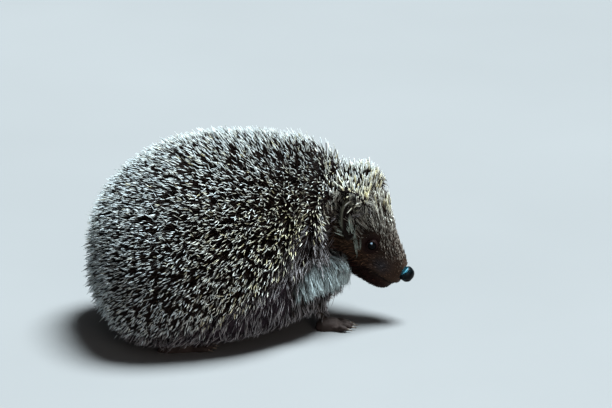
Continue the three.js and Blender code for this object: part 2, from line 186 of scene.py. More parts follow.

# colour ramps, as (place, colour): a spine from root to tip, its root greyer than the horn's own
# cream as painted shade deep in the coat, then how its tone and its warmth change it
HORN_BANDS = (
    (0.0, (0.16, 0.12, 0.085)),
    (0.20, (0.10, 0.075, 0.055)),
    (0.32, (0.024, 0.011, 0.008)),
    (0.785, (0.014, 0.007, 0.006)),
    (0.805, (0.36, 0.34, 0.31)),
    (0.825, (0.88, 0.90, 0.89)),
    (1.0, (0.96, 0.98, 1.0)),
)
HORN_TONES = ((0.0, (0.34, 0.33, 0.31)), (0.45, (0.68, 0.68, 0.67)), (1.0, 1.0))
HORN_TINTS = ((0.0, (0.90, 0.97, 1.0)), (0.5, (1.0, 0.99, 0.92)), (1.0, (0.95, 0.84, 0.52)))
CLAW_STREAKS = ((0.3, (0.055, 0.038, 0.026)), (0.7, (0.20, 0.155, 0.115)))
NOSE_BLACKS = ((0.35, (0.00005, 0.00003, 0.00003)), (0.7, (0.0003, 0.0002, 0.0002)))
EYE_BLACKS = ((0.35, (0.0001, 0.00008, 0.00008)), (0.7, (0.0002, 0.00015, 0.00012)))
BLOTCHES = ((0.3, 0.6), (0.7, 1.0))
FLOOR_TONES = ((0.3, (0.158, 0.155, 0.152)), (0.7, (0.17, 0.167, 0.164)))

# ---- light: colours, strengths in watts, places in metres

SUN_ANGLE = 25.0
SUN_STRENGTH = 14.2
SUN_COLOUR = (0.80, 0.93, 1.0)
SUN_AIM = (-0.46, -0.10, -1.24)
SOFTBOX_AIM = (0.02, 0.0, 0.06)
# name, place, side, strength, colour, and the only pieces that it lights, if there are any
SOFTBOXES = (
    ("front_fill", (0.4, -1.7, 0.4), 1.0, 7.0, (1.0, 0.87, 0.80), ()),
    ("eye_glint", (-0.06, -0.62, 0.85), 0.75, 260.0, (0.62, 0.82, 1.0), ("eye_right", "eye_left")),
    ("nose_glint", (-0.36, 0.02, 1.0), 1.8, 1300.0, (0.14, 0.72, 1.0), ("nose_pad",)),
)
WORLD_COLOUR = (0.8, 0.85, 0.9, 1)
WORLD_STRENGTH = 0.14

EARS = ["ear_right", "ear_left"]
FLESH = [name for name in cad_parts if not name.startswith(("claw", "eye", "ear", "nose"))]
PAWS = [name for name in FLESH if name.startswith("foot_")]


# ---- small helpers


def unit(vectors):
    """The vectors at length one."""
    length = np.linalg.norm(vectors, axis=-1, keepdims=True)
    return vectors / np.maximum(length, 1e-12)


def smooth(values, low, high):
    """0 below low, 1 above high, and an even S between them."""
    t = np.clip((values - low) / (high - low), 0.0, 1.0)
    return t * t * (3.0 - 2.0 * t)


def bell(values, centre, width):
    """1 at the centre, falling away on both sides of it."""
    return np.exp(-(((values - centre) / width) ** 2))


def mixed(first, second, share):
    """Two colours or vectors, or lists of them, mixed by share."""
    share = np.asarray(share)[:, None]
    return np.asarray(first) * (1 - share) + np.asarray(second) * share


def middle(node):
    """The middle of a CAD node's box."""
    low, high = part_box(node)
    return np.array((low + high) / 2) / MM


def radius_of(node):
    """Half the longest side of a CAD node's box."""
    low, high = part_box(node)
    return max(high - low) / MM / 2


def away_from(points, node):
    """How far each point is from the middle of a CAD node."""
    return np.linalg.norm(points - middle(node), axis=1)


def head_axes(yaw, pitch):
    """The head's forward, left and upward directions, as rows."""
    level = math.cos(pitch)
    forward = np.array([math.cos(yaw) * level, math.sin(yaw) * level, -math.sin(pitch)])
    left = np.array([-math.sin(yaw), math.cos(yaw), 0.0])
    return np.array([forward, left, np.cross(forward, left)])


def eye_distance(points):
    """How far each point is from the nearer eye."""
    return np.minimum(*(away_from(points, "eye_" + side) for side in SIDES))


HEAD = head_axes(math.radians(HEAD_YAW), math.radians(HEAD_PITCH))
HEAD_AT = (middle("eye_right") + middle("eye_left")) / 2
HEAD_AT = HEAD_AT - HEAD.T @ (EYE_AHEAD, 0, EYE_UP)


def in_head(points):
    """Points in the head's own directions: forward, left and up."""
    return (points - HEAD_AT) @ HEAD.T


def mesh_arrays(mesh):
    """A mesh's points, its triangles and its edges."""
    mesh.calc_loop_triangles()
    found = []
    for source, key, width, kind in (
        (mesh.vertices, "co", 3, np.float32),
        (mesh.loop_triangles, "vertices", 3, np.int32),
        (mesh.edges, "vertices", 2, np.int32),
    ):
        values = np.zeros(len(source) * width, kind)
        source.foreach_get(key, values)
        found.append(values.reshape(-1, width))
    return found[0].astype(float) / MM, found[1], found[2]


def gathered(places, rows, count):
    """The rows added up at their places."""
    return np.column_stack([np.bincount(places, column, minlength=count) for column in rows.T])


def normals_of(points, triangles):
    """A smooth normal at each point."""
    a, b, c = (points[triangles[:, i]] for i in range(3))
    face = np.cross(b - a, c - a)
    return unit(sum(gathered(triangles[:, i], face, len(points)) for i in range(3)))


def relax(values, edges, times):
    """Each value moved halfway to its neighbours' mean, so many times."""
    values = np.array(values, float)
    flat = values.ndim == 1
    if flat:
        values = values[:, None]
    size = len(values)
    count = np.maximum(np.bincount(edges.ravel(), minlength=size)[:, None], 1)
    first, second = edges.T
    for _ in range(times):
        total = gathered(first, values[second], size) + gathered(second, values[first], size)
        values += 0.5 * (total / count - values)
    return values[:, 0] if flat else values


def nearest_tree(points):
    """A search tree of the points."""
    tree = KDTree(len(points))
    for number, point in enumerate(points):
        tree.insert(point, number)
    tree.balance()
    return tree


def quads(rows, across, closed=0):
    """The faces between rows of points that close round, as the rows too may do."""
    row, step = np.divmod(np.arange((rows - 1 + closed) * across), across)
    here = row * across
    below = (row + 1) % rows * across
    after = (step + 1) % across
    return np.column_stack([here + step, here + after, below + after, below + step])


def placed(name, data):
    """A new object of the scene that shows the data."""
    made = bpy.data.objects.new(name, data)
    bpy.context.scene.collection.objects.link(made)
    return made


def aimed(made, direction):
    """A camera or a light, turned to look that way."""
    made.rotation_mode = "QUATERNION"
    made.rotation_quaternion = Vector(direction).to_track_quat("-Z", "Y")


def mesh_from(name, points, faces):
    """A new object from points and faces."""
    mesh = bpy.data.meshes.new(name)
    mesh.from_pydata((np.asarray(points) * MM).tolist(), [], np.asarray(faces).tolist())
    mesh.update()
    return placed(name, mesh)


def put(mesh, name, values):
    """A value at each of the mesh's points: a number or a colour."""
    kind, key = ("FLOAT", "value") if values.ndim == 1 else ("FLOAT_COLOR", "color")
    if key == "color":
        values = np.column_stack([values, np.ones(len(values))])
    layer = mesh.attributes.new(name, kind, "POINT")
    layer.data.foreach_set(key, values.astype(np.float32).ravel())


def remeshed(made, voxel):
    """The object's mesh after a voxel remesh of that size. The object goes."""
    change = made.modifiers.new("remesh", "REMESH")
    change.mode = "VOXEL"
    change.voxel_size = voxel * MM
    graph = bpy.context.evaluated_depsgraph_get()
    mesh = bpy.data.meshes.new_from_object(made.evaluated_get(graph))
    bpy.data.objects.remove(made)
    return mesh


def whole_of(names, grow, balls):
    """One object of those CAD solids, each swollen a little, and of stretched balls."""
    whole = bmesh.new()
    for name in names:
        part = bmesh.new()
        part.from_mesh(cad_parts[name].data)
        bmesh.ops.remove_doubles(part, verts=part.verts, dist=1e-6)
        part.normal_update()
        for vert in part.verts:
            vert.co += vert.normal * grow * MM
        mesh = bpy.data.meshes.new("part")
        part.to_mesh(mesh)
        whole.from_mesh(mesh)
        part.free()
        bpy.data.meshes.remove(mesh)
    for centre, aim, size in balls:
        along = Vector(aim).to_track_quat("X", "Z")
        place = Matrix.LocRotScale(Vector(centre) * MM, along, Vector(size) * MM)
        bmesh.ops.create_uvsphere(whole, u_segments=14, v_segments=8, radius=1.0, matrix=place)
    mesh = bpy.data.meshes.new("whole")
    whole.to_mesh(mesh)
    whole.free()
    return placed("whole", mesh)


# ---- the skin


def nearest_kinds(points):
    """The kind of the flesh whose surface is nearest to each point."""
    corners, faces, kinds = [], [], []
    start = 0
    for name in FLESH:
        here, triangles, _ = mesh_arrays(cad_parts[name].data)
        corners.append(here)
        faces.append(triangles + start)
        start += len(here)
        kinds += [next(kind for kind in COAT_DEPTH if name.startswith(kind))] * len(triangles)
    tree = BVHTree.FromPolygons(np.concatenate(corners).tolist(), np.concatenate(faces).tolist())
    return np.array(kinds)[[tree.find_nearest(Vector(p))[2] for p in points]]


def refined(mesh):
    """The mesh with the face's quads halved, for the mouth and the muzzle."""
    whole = bmesh.new()
    whole.from_mesh(mesh)
    local = in_head(np.array([vert.co for vert in whole.verts]) / MM)
    ahead = (local[:, 0] > 26) & (np.abs(local[:, 1]) < 24) & (np.abs(local[:, 2]) < 30)
    chosen = [e for e in whole.edges if ahead[e.verts[0].index] and ahead[e.verts[1].index]]
    bmesh.ops.subdivide_edges(whole, edges=chosen, cuts=1, use_grid_fill=True)
    whole.to_mesh(mesh)
    whole.free()
    return mesh


def shape_of(names, grow, balls, voxel, times):
    """The outside of those solids and balls together, smoothed so many times."""
    points, triangles, edges = mesh_arrays(remeshed(whole_of(names, grow, balls), voxel))
    return relax(points, edges, times), triangles, edges


def mouth_line(points, above=0.0, width=0.7):
    """1 on the line between the lips, or that far above it, and 0 away from it."""
    ahead, _, up = in_head(points).T
    share = np.clip((MOUTH_FRONT[0] - ahead) / (MOUTH_FRONT[0] - MOUTH_CORNER[0]), 0, 1)
    level = MOUTH_FRONT[1] + (MOUTH_CORNER[1] - MOUTH_FRONT[1]) * share + above
    line = bell(up, level, width) * smooth(ahead, MOUTH_CORNER[0] - 2, MOUTH_CORNER[0] + 3)
    return line * smooth(-ahead, -66, -63)


def nose_collar(points):
    """The points, with the end of the muzzle widened so that the nose sits in it."""
    local = in_head(points) - HEAD @ (middle("nose") - HEAD_AT)
    ahead = local[:, 0]
    around = np.linalg.norm(local[:, 1:], axis=1)
    least = COLLAR * smooth(ahead, -8.0, -3.5) * smooth(-ahead, -0.6, 1.6)
    wider = np.maximum(around, least) / np.maximum(around, 1e-6)
    near = (ahead < 1.5) & (ahead > -9) & (around < 9)
    local[:, 1:] *= np.where(near, wider, 1.0)[:, None]
    return middle("nose") + local @ HEAD


def skin_shape(points, triangles, edges):
    """The skin inside the coat's outline: points, triangles, edges and what each point knows.

    Each point knows its share of each part of the body, and how deep its coat is.
    """
    kinds = nearest_kinds(points)
    weights = {kind: relax((kinds == kind).astype(float), edges, 6) for kind in COAT_DEPTH}
    depth = relax(sum(weights[kind] * COAT_DEPTH[kind] for kind in COAT_DEPTH), edges, 10)
    away = smooth(eye_distance(points), 5.0, 13.0)
    depth = depth * away + np.minimum(depth, EYE_COAT) * (1 - away)
    near_nose = NOSE_COAT + smooth(away_from(points, "nose"), 6.0, 16.0) * 12.0
    near_floor = 0.6 + np.maximum(points[:, 2], 0) * 0.9
    depth = np.minimum(np.minimum(depth, near_nose), near_floor)
    normals = unit(relax(normals_of(points, triangles), edges, 12))
    inner = relax(points - normals * depth[:, None], edges, 3)
    mesh = refined(remeshed(mesh_from("inner", inner, triangles), SKIN_VOXEL))
    skin, faces, links = mesh_arrays(mesh)
    skin = relax(skin, links, 3)
    tree = nearest_tree(inner)
    near = np.array([tree.find(p)[1] for p in skin])
    known = {kind: relax(weights[kind][near], links, 2) for kind in COAT_DEPTH}
    known["depth"] = relax(depth[near], links, 3)
    for name in ("ear", "rim", "lid"):
        known[name] = np.zeros(len(skin))
    rise = LIP * mouth_line(skin, 1.7, 1.1) - GROOVE * mouth_line(skin)
    skin = skin + normals_of(skin, faces) * rise[:, None]
    return nose_collar(skin), faces, links, known


def toe_ends(foot):
    """The flesh that holds each claw's root: balls stretched in line with the claw."""
    balls = []
    for name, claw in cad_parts.items():
        if not name.startswith(foot.replace("foot", "claw")):
            continue
        points = np.array([tuple(vert.co) for vert in claw.data.vertices]) / MM
        far = away_from(points, foot)
        root, tip = points[far.argmin()], points[far.argmax()]
        aim = unit(tip - root)
        balls.append((root - aim * TOE_BACK - np.array([0, 0, TOE_DROP]), aim, TOE_END))
    return balls


def rim_share(points):
    """1 at the rear rim of an ear's outline, and 0 in its middle and at its front."""
    local = points - (points.min(axis=0) + points.max(axis=0)) / 2
    axes = np.linalg.svd(local, full_matrices=False)[2][:2]
    flat = local @ axes.T
    far = np.linalg.norm(flat / np.abs(flat).max(axis=0), axis=1)
    return smooth(far, 0.72, 0.95) * smooth(-(local @ HEAD[0]), -3.0, 0.5)


def lid_shape(side):
    """The lids round one eye: a rim, a crease and a fold that sinks into the skin."""
    way = -1 if side == "right" else 1
    axis = unit(HEAD.T @ np.array([0.30, 0.93 * way, 0.18]))
    level = unit(HEAD[0] - axis * (HEAD[0] @ axis))
    upward = np.cross(axis, level) * -way
    spread, rise = np.array(LID_ROWS).T[:, :, None]
    angle = 2 * math.pi * np.arange(LID_TURNS) / LID_TURNS
    across, over = np.cos(angle), np.sin(angle)
    half = np.where(over > 0, EYE_OPENING[1], EYE_OPENING[2])
    polar = np.radians(1 / np.hypot(across / EYE_OPENING[0], over / half) + spread)[:, :, None]
    tall = radius_of("eye_" + side) + rise + 0.22 * np.maximum(over, 0) * (rise > 0.1)
    ring = level * across[:, None] + upward * over[:, None]
    points = middle("eye_" + side) + (axis * np.cos(polar) + ring * np.sin(polar)) * tall[:, :, None]
    halves = [[0, 1, 2], [0, 2, 3]] if way > 0 else [[0, 2, 1], [0, 3, 2]]
    faces = quads(len(LID_ROWS), LID_TURNS, 1)[:, halves].reshape(-1, 3)
    return points.reshape(-1, 3), faces, np.concatenate([faces[:, :2], faces[:, 1:]])


def with_extras(points, faces, edges, known):
    """The skin with its ears, paws and lids added, each known by name."""
    extras = [("ear", shape_of([node], 0.0, (), EAR_VOXEL, 3)) for node in EARS]
    extras += [("foot", shape_of([node], 0.0, toe_ends(node), PAW_VOXEL, 3)) for node in PAWS]
    extras += [("lid", lid_shape(side)) for side in SIDES]
    for kind, (more, triangles, links) in extras:
        faces = np.concatenate([faces, triangles + len(points)])
        edges = np.concatenate([edges, links + len(points)])
        points = np.concatenate([points, more])
        for name in known:
            value = 1.0 if name == kind else 0.5 if name == "depth" else 0.0
            if name == "rim" and kind == "ear":
                value = rim_share(more)
            known[name] = np.append(known[name], np.full(len(more), value))
    return points, faces, edges, known


# the outside of all the flesh together, where the tips of the coat end
outline = shape_of(FLESH, CLOSE_CUTS, (), UNION_VOXEL, 2)
tip_surface = BVHTree.FromPolygons(outline[0].tolist(), outline[1].tolist())
skin_points, skin_faces, skin_edges, known = with_extras(*skin_shape(*outline))
skin_normals = unit(relax(normals_of(skin_points, skin_faces), skin_edges, 3))
skin_ahead, skin_aside, skin_up = in_head(skin_points).T
skin_aside = np.abs(skin_aside)
face = known["head"] + known["snout"] + known["lower_jaw"]
# where spines grow: the mantle, the neck, the crown, and the head behind the ears
spiny = known["mantle"] + known["neck"] + known["crown"]
spiny += known["head"] * smooth(-skin_ahead, -12, -7)
# the short spines that run down over the forehead from the crown, furthest along its middle
peak = FOREHEAD_SPINES - 12.0 * smooth(skin_aside, 2, 15)
forehead = face * smooth(peak - skin_ahead, 0, 3) * smooth(skin_up, 8, 12)


# ---- roots on the skin


def held_inside(tips, over):
    """The tips, those too far outside the coat's outline drawn back to it."""
    held = tips.copy()
    for number, (tip, room) in enumerate(zip(tips.tolist(), over.tolist())):
        near, normal, _, _ = tip_surface.find_nearest(Vector(tip))
        out = (Vector(tip) - near).dot(normal)
        if out > room:
            held[number] -= np.array(normal) * (out - room)
    return held


def scatter(weight, spacing, seed):
    """Roots over the skin where weight is above zero, about spacing millimetres apart.

    It gives a function that reads any of the skin's values at the roots.
    """
    random = np.random.default_rng(seed)
    a, b, c = (skin_points[skin_faces[:, i]] for i in range(3))
    area = np.linalg.norm(np.cross(b - a, c - a), axis=1) / 2
    share = weight[skin_faces].mean(axis=1)
    share[share < 0.02] = 0
    chance = area * share
    wanted = int(9 * chance.sum() / spacing**2)
    chosen = random.choice(len(skin_faces), wanted, p=chance / chance.sum())
    pair = random.random((wanted, 2))
    over = pair.sum(axis=1) > 1
    pair[over] = 1 - pair[over]
    mix = np.column_stack([1 - pair.sum(axis=1), pair])
    spots = np.einsum("nk,nkd->nd", mix, skin_points[skin_faces[chosen]])
    tree = nearest_tree(spots)
    free = np.ones(wanted, bool)
    kept = []
    for number, spot in enumerate(spots):
        if free[number]:
            kept.append(number)
            for _, other, _ in tree.find_range(spot, spacing):
                free[other] = False
    corners = skin_faces[chosen[kept]]
    mix = mix[kept]

    def read(values):
        shape = "nk,nk->n" if values.ndim == 1 else "nk,nkd->nd"
        return np.einsum(shape, mix, values[corners])

    return read


def along_surface(guides, normals):
    """The guides laid on the surface, at length one."""
    return unit(guides - normals * np.sum(guides * normals, axis=1, keepdims=True))


def swung(first, second, angles):
    """The first directions, each turned by its angle towards the second."""
    return first * np.cos(angles)[:, None] + second * np.sin(angles)[:, None]


def laid(random, guides, normals, loose, leans, uneven):
    """Each strand's way along the skin, turned at random, and its aim, leaning that way."""
    flow = along_surface(guides, normals)
    flow = swung(flow, np.cross(normals, flow), random.normal(0, loose, len(normals)))
    return flow, swung(normals, flow, np.radians(leans + random.normal(0, uneven, len(normals))))


# ---- meshes of many strands


def unwrapped(points, on_head=False):
    """An equal-area unwrap about the body's or the head's middle."""
    away = unit(points - BODY_CENTRE)
    if on_head:
        away = unit(points - (HEAD_AT + HEAD[0] * 30)) @ HEAD.T
    around = np.arctan2(away[:, 1], -away[:, 2]) / (2 * math.pi) + 0.5
    return np.column_stack([around, (away[:, 0] + 1) / 2])


def strand_mesh(name, start, bend, end, width, profile, sides, values, spots):
    """One mesh of closed, tapering strands.

    Each runs from start towards bend and on to end. profile lists how far along each ring is
    and how wide. values are numbers for each strand, and spots its place on the unwrap.
    """
    count = len(start)
    steps, wide = np.array(profile).T
    rings = len(steps)
    t = steps[None, :, None]
    line = start[:, None] * (1 - t) ** 2 + bend[:, None] * 2 * t * (1 - t) + end[:, None] * t**2
    heading = unit((bend - start)[:, None] * (1 - t) + (end - bend)[:, None] * t)
    random = np.random.default_rng(count)
    across = unit(np.cross(heading, unit(random.normal(size=(count, 3)))[:, None]))
    third = np.cross(heading, across)[:, :, None]
    turn = np.arange(sides) * 2 * math.pi / sides
    radius = (width[:, None] * wide / 2)[:, :, None, None]
    ring = radius * (across[:, :, None] * np.cos(turn)[:, None] + third * np.sin(turn)[:, None])
    body = (line[:, :, None] + ring).reshape(count, rings * sides, 3)
    points = np.concatenate([body, end[:, None]], axis=1).reshape(-1, 3)
    # the corners of one strand's faces: its sides, its tip and its root
    each = rings * sides + 1
    tube = quads(rings, sides)
    last = np.arange(sides) + each - 1 - sides
    tip = np.column_stack([last, np.roll(last, -1), np.full(sides, each - 1)])
    corners = np.concatenate([tube.ravel(), tip.ravel(), np.arange(sides)[::-1]])
    loops = (corners[None] + (np.arange(count) * each)[:, None]).ravel()
    totals = np.tile([4] * len(tube) + [3] * sides + [sides], count)
    mesh = bpy.data.meshes.new(name)
    mesh.vertices.add(len(points))
    mesh.vertices.foreach_set("co", (points * MM).astype(np.float32).ravel())
    mesh.loops.add(len(loops))
    mesh.loops.foreach_set("vertex_index", loops.astype(np.int32))
    mesh.polygons.add(len(totals))
    mesh.polygons.foreach_set("loop_start", (np.cumsum(totals) - totals).astype(np.int32))
    mesh.update(calc_edges=True)
    mesh.shade_smooth()
    along = np.append(np.repeat(steps, sides), 1.0)
    put(mesh, "along", np.tile(along, count))
    for key, value in values.items():
        put(mesh, key, np.repeat(value, each, axis=0))
    low = spots.min(axis=0)
    spots = 0.01 + 0.98 * (spots - low) / np.maximum(spots.max(axis=0) - low, 1e-6)
    around = np.append(np.tile(np.arange(sides) / (sides - 1), rings), 0.5)
    patch = np.column_stack([around, along]) * PATCH - PATCH / 2
    flat = (spots[:, None] + patch[None]).reshape(-1, 2)
    layer = mesh.uv_layers.new(name="OFBake")
    layer.data.foreach_set("uv", flat[loops].astype(np.float32).ravel())
    made = placed(name, mesh)
    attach(made, "root")
    return made


# ---- the lie and the colours of the coat


def over_edge(points):
    """How far each point lies above the line where the lowest spines end."""
    return points[:, 2] - np.interp(points[:, 0], *zip(*SPINE_EDGE))


def body_guide(points, normals):
    """Backwards along the body, and downwards towards the skirt and the front."""
    x, _, z = points.T
    down = 0.04 + 0.75 * smooth(-z, -80, -20)
    down += smooth(x, -15, 40) * smooth(-z, -70, -35)
    return np.column_stack([-np.ones(len(x)), np.zeros(len(x)), -down])


def fringe_guide(points, normals):
    """The body's own lie, but hanging down along the skirt."""
    low = smooth(-points[:, 2], -40, -24)
    return body_guide(points, normals) + low[:, None] * np.array([0.3, 0, -0.9])


def flank_guide(points, normals):
    """Down and a little back on the flanks, straight back under the belly."""
    under = smooth(-normals[:, 2], 0.3, 0.8)
    return np.column_stack([-0.45 - under, np.zeros(len(points)), -1 + under])


def face_guide(points, normals):
    """Back from the nose: up towards the crown above the eye, and down under the cheek."""
    ahead, aside, up = in_head(points).T
    temple = smooth(np.abs(aside), 11, 15) * smooth(-ahead, -35, -29)
    lift = 0.45 * smooth(up, -2, 8) * (1 - temple) - smooth(-up, 2, 12)
    return -HEAD[0][None] + HEAD[2][None] * lift[:, None]


def spine_lean(points, normals):
    """How far a spine leans from upright: least over the rump."""
    back = smooth(-normals[:, 0], 0.25, 0.95)
    top = smooth(normals[:, 2], 0.6, 1.0)
    low = smooth(-points[:, 2], -50, -15)
    front = smooth(points[:, 0], -35, 25) * smooth(-normals[:, 2], -0.8, -0.4)
    nape = smooth(normals[:, 0], 0.35, 0.8) * smooth(points[:, 2], 60, 75)
    return 49 - 28 * back - 10 * top + 7 * low + 10 * front - 12 * nape


def white_breast(points):
    """1 where the white breast is rooted: above the forelegs and ahead of a sloping line."""
    x, _, z = points.T
    line = WHITE_BACK + WHITE_SLOPE * (z - WHITE_FOOT)
    white = smooth(z, WHITE_FOOT - 3, WHITE_FOOT + 2)
    white *= smooth(-z, -WHITE_TOP - 2, -WHITE_TOP + 2)
    return white * smooth(x, line - 3, line + 3)


def layered(colour, *layers):
    """The colour with others laid over it in turn, each by its own share."""
    for other, share in layers:
        colour = mixed(colour, other, share)
    return colour


def face_share(region):
    """How far each point belongs to the face."""
    return np.clip(region["head"] + region["snout"] + region["lower_jaw"], 0, 1)


def markings(points, region):
    """The coat's colour, from each point's place and its share of each part, with painted shade
    between the spines, under the head, in the mouth's groove and inside the ears.
    """
    ahead, aside, up = in_head(points).T
    rear = smooth(-ahead, -31, -20) * smooth(-up, -2, 6)
    above = smooth(up, -4, 7) * smooth(-ahead, -62, -50)
    grey = bell(ahead, 48, 5.5) * bell(up, -3.5, 4.5)
    face_colour = layered(
        CHEEK_BROWN,
        (REAR_CHEEK, 0.7 * rear),
        # darker under the face: partly its own fur, partly painted shade beneath the head
        (JAW_BROWN_AND_SHADE, smooth(-up, 8, 14)),
        (FOREHEAD, above),
        (MUZZLE_GREY, np.clip(grey * smooth(np.abs(aside), 3, 7), 0, 0.9)),
        (EYE_BROWN, 0.95 * smooth(-eye_distance(points), -8.5, -5)),
        # the mouth's groove: dark lips and painted shade in the crease
        (MOUTH_DARK_AND_SHADE, mouth_line(points, 0.0, 1.0)),
    )
    skirt = region["mantle"] * smooth(-over_edge(points), -6, 0)
    under = np.clip(region["belly"] + region["hindquarters"] + skirt, 0, 1)
    inside = smooth(48 - np.abs(points[:, 1]), 0, 14)
    breast = smooth(region["breast"], 0.3, 0.7)
    return layered(
        DARK_BROWN,
        # painted shade between the spines of the mantle, the neck and the crown
        (UNDER_SPINES_AND_SHADE, np.clip(region["mantle"] + region["neck"], 0, 1)),
        (UNDER_SPINES_AND_SHADE, np.clip(region["crown"], 0, 1)),
        (FRINGE_BROWN, under),
        (BELLY_BROWN, under * inside),
        (BELLY_BROWN, breast),
        # the throat under the jaw: partly its own brown, partly painted shade
        (THROAT_BROWN_AND_SHADE, breast * smooth(points[:, 2], 44, 50)),
        (BREAST_WHITE, breast * white_breast(points + np.array([WHITE_SPREAD, 0, 0]))),
        (LEG_BROWN, smooth(region["leg"], 0.3, 0.7)),
        (FOOT_SKIN, smooth(region["foot"] + region["tail"], 0.3, 0.7)),
        (face_colour, smooth(face_share(region), 0.3, 0.7)),
        (EYE_BROWN, region["lid"]),
        # the ear's olive rim, and painted shade inside its hollow
        (mixed(EAR_INSIDE_AND_SHADE, EAR_OLIVE, region["rim"]), region["ear"]),
    )


def pale_share(points, region):
    """How many of the hairs are pale, from 0 to 1."""
    ahead, _, up = in_head(points).T
    above = smooth(up, -1, 7) * smooth(-ahead, -58, -48)
    share = 0.24 + 0.16 * above + smooth(-ahead, -30, -12) * 0.25 * (1 - above)
    share *= 1 - 0.95 * smooth(-eye_distance(points), -9, -5)
    on_face = face_share(region)
    return share * on_face + 0.40 * (1 - on_face)


# ---- materials


def material(name):
    """A new node material and its tree."""
    made = bpy.data.materials.new(name)
    made.use_nodes = True
    return made, made.node_tree


def fed(tree, made, inputs):
    """The node, its inputs set to those values or linked to those sockets."""
    for key, value in inputs.items():
        if isinstance(value, bpy.types.NodeSocket):
            tree.links.new(value, made.inputs[key])
        else:
            made.inputs[key].default_value = value
    return made


def painted(made, inputs):
    """The material, once its shader has those inputs."""
    fed(made.node_tree, made.node_tree.nodes["Principled BSDF"], inputs)
    return made


def node(tree, kind, inputs):
    """A new node of that kind with those inputs."""
    return fed(tree, tree.nodes.new("ShaderNode" + kind), inputs)


def ramp(tree, factor, stops):
    """A colour ramp driven by factor, of (place, colour or grey) stops."""
    made = node(tree, "ValToRGB", {0: factor})
    elements = made.color_ramp.elements
    while len(elements) < len(stops):
        elements.new(0.5)
    for element, (place, colour) in zip(elements, stops):
        element.position = place
        element.color = (*(colour if isinstance(colour, tuple) else (colour,) * 3), 1.0)
    return made.outputs[0]


def attribute(tree, name, kind="Fac"):
    """The value that a mesh holds under that name."""
    made = tree.nodes.new("ShaderNodeAttribute")
    made.attribute_name = name
    return made.outputs[kind]


def maths(tree, how, first, second):
    """One sum of two numbers or sockets."""
    made = tree.nodes.new("ShaderNodeMath")
    made.operation = how
    return fed(tree, made, {0: first, 1: second}).outputs[0]


def multiply(tree, product, *colours):
    """The colours multiplied together."""
    for colour in colours:
        made = tree.nodes.new("ShaderNodeMix")
        made.data_type = "RGBA"
        made.blend_type = "MULTIPLY"
        product = fed(tree, made, {0: 1.0, 6: product, 7: colour}).outputs[2]
    return product


def noise(tree, scale, detail=3.0, roughness=0.55):
    """A noise in the object's own coordinates, per metre."""
    place = tree.nodes.new("ShaderNodeTexCoord").outputs["Object"]
    inputs = {"Scale": scale, "Detail": detail, "Roughness": roughness, "Vector": place}
    return node(tree, "TexNoise", inputs).outputs["Fac"]


def pores(tree, scale):
    """Small cells in the object's own coordinates, per metre."""
    place = tree.nodes.new("ShaderNodeTexCoord").outputs["Object"]
    return node(tree, "TexVoronoi", {"Scale": scale, "Vector": place}).outputs["Distance"]


def bump(tree, height, strength, distance):
    """A bump of that height in metres."""
    inputs = {"Height": height, "Strength": strength, "Distance": distance}
    return node(tree, "Bump", inputs).outputs[0]


def uneven(tree, scale, low, high):
    """A roughness that varies between low and high."""
    inputs = {"Value": noise(tree, scale), "To Min": low, "To Max": high}
    return node(tree, "MapRange", inputs).outputs[0]


def spine_material():
    """Banded horn: a root paler than the band but greyer than real horn, as painted shade deep in
    the coat, then a near-black band and a white tip.
    """
    made, tree = material("spine_horn")
    shift = maths(tree, "MULTIPLY", attribute(tree, "shift"), 0.03)
    before = maths(tree, "SUBTRACT", 1.0, attribute(tree, "along"))
    before = maths(tree, "MULTIPLY", before, attribute(tree, "long"))
    along = maths(tree, "ADD", maths(tree, "SUBTRACT", shift, before), 1.0)
    along = maths(tree, "ADD", along, maths(tree, "MULTIPLY", noise(tree, 900.0), 0.03))
    tone = ramp(tree, attribute(tree, "tone"), HORN_TONES)
    tint = ramp(tree, attribute(tree, "warm"), HORN_TINTS)
    return painted(made, {
        "Base Color": multiply(tree, ramp(tree, along, HORN_BANDS), tone, tint),
        "Roughness": uneven(tree, 1500.0, 0.34, 0.55),
        "Normal": bump(tree, noise(tree, 2500.0), 0.25, 0.0001),
        "Specular IOR Level": 0.25,
    })


def fur_material(name, root, tip, least):
    """Hair of the coat's colour, darker at the root, its tone down to the least."""
    made, tree = material(name)
    stops = ((0.0, root), (0.55, (root + tip) / 2), (1.0, tip))
    shade = ramp(tree, attribute(tree, "along"), stops)
    tone = ramp(tree, attribute(tree, "tone"), ((0.0, least), (1.0, 1.0)))
    streak = ramp(tree, noise(tree, 420.0), BLOTCHES)
    return painted(made, {
        "Base Color": multiply(tree, attribute(tree, "coat", "Color"), shade, tone, streak),
        "Roughness": uneven(tree, 800.0, 0.5, 0.75),
        "Specular IOR Level": 0.08,
    })


def skin_material():
    """Skin in the coat's markings, pored and finely creased."""
    made, tree = material("skin")
    blotch = ramp(tree, noise(tree, 160.0, 5.0), BLOTCHES)
    height = maths(tree, "ADD", pores(tree, 1400.0), noise(tree, 600.0, 4.0))
    return painted(made, {
        "Base Color": multiply(tree, attribute(tree, "coat", "Color"), blotch),
        "Roughness": uneven(tree, 900.0, 0.5, 0.8),
        "Normal": bump(tree, height, 0.6, 0.0003),
        "Specular IOR Level": 0.08,
    })


def wet_material(name, stops, scale, gloss, deep, shine, tint):
    """Wet black skin or a dark eye: glossy, mottled and, if deep, grained."""
    made, tree = material(name)
    inputs = {
        "Base Color": ramp(tree, noise(tree, scale, 4.0), stops),
        "Roughness": uneven(tree, scale * 3, gloss, gloss * 1.8),
        "Specular IOR Level": shine,
        "Specular Tint": (*tint, 1.0),
    }
    if deep:
        inputs["Normal"] = bump(tree, pores(tree, scale * 2), 0.5, deep)
    return painted(made, inputs)


def claw_material():
    """Brown horn, paler in streaks."""
    made, tree = material("claw_horn")
    return painted(made, {
        "Base Color": ramp(tree, noise(tree, 700.0, 2.0, 0.5), CLAW_STREAKS),
        "Roughness": uneven(tree, 1200.0, 0.28, 0.5),
        "Normal": bump(tree, noise(tree, 1800.0), 0.3, 0.0001),
    })


# ---- spines


